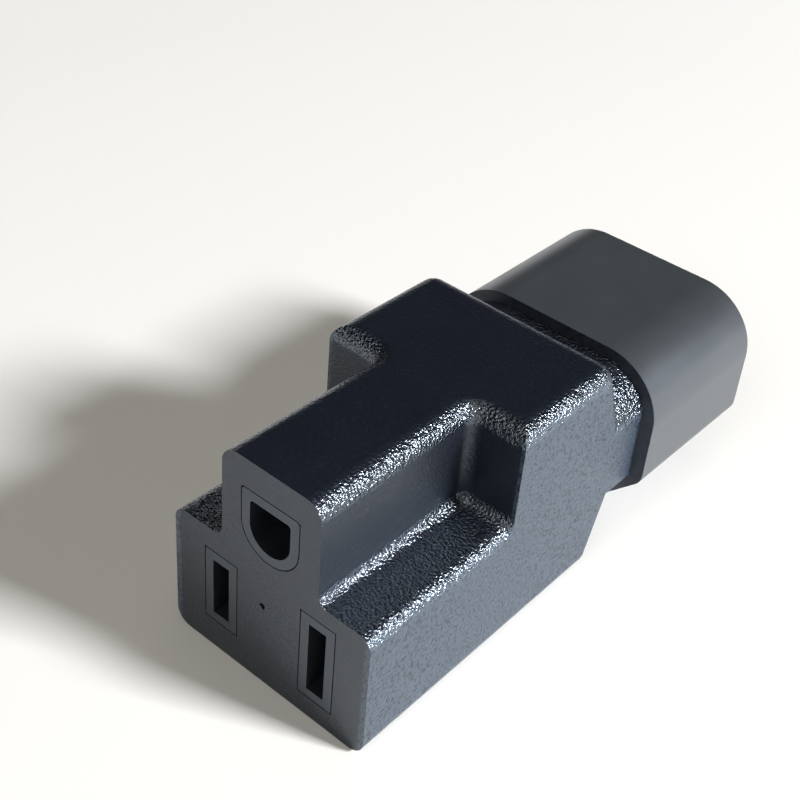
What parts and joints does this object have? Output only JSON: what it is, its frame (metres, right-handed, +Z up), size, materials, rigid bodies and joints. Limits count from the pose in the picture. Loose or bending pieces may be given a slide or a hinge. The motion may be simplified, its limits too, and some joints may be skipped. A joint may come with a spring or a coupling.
{
  "type": "iec power adapter",
  "caption": "Straight moulded mains adapter: a grounded socket face at one end and a shrouded pin inlet at the other.",
  "frame": {"origin": "centre of the object's footprint, on the flat underside", "axes": "+Z up, +Y from the socket face towards the inlet rim, +X to the right seen from the socket face"},
  "size_m": [0.0274, 0.063, 0.0269],
  "materials": {
    "body_pvc": "fine-grained matte black",
    "shroud_plastic": "smooth satin black",
    "core_plastic": "satin black",
    "plated_pins": "bright nickel plate",
    "contact_brass": "bright rolled strip"
  },
  "bodies": {
    "root": {"outer_body": "body_pvc", "inlet_shroud": "shroud_plastic", "pin_carrier": "core_plastic", "socket_core": "core_plastic", "core_cover": "core_plastic", "line_pin": "plated_pins", "neutral_pin": "plated_pins", "earth_pin": "plated_pins", "line_contact": "contact_brass", "neutral_contact": "contact_brass", "ground_contact": "contact_brass", "line_strap": "contact_brass", "neutral_strap": "contact_brass", "earth_strap": "contact_brass", "contact_rivets": "contact_brass", "pin_rivets": "contact_brass"}
  },
  "joints": []
}
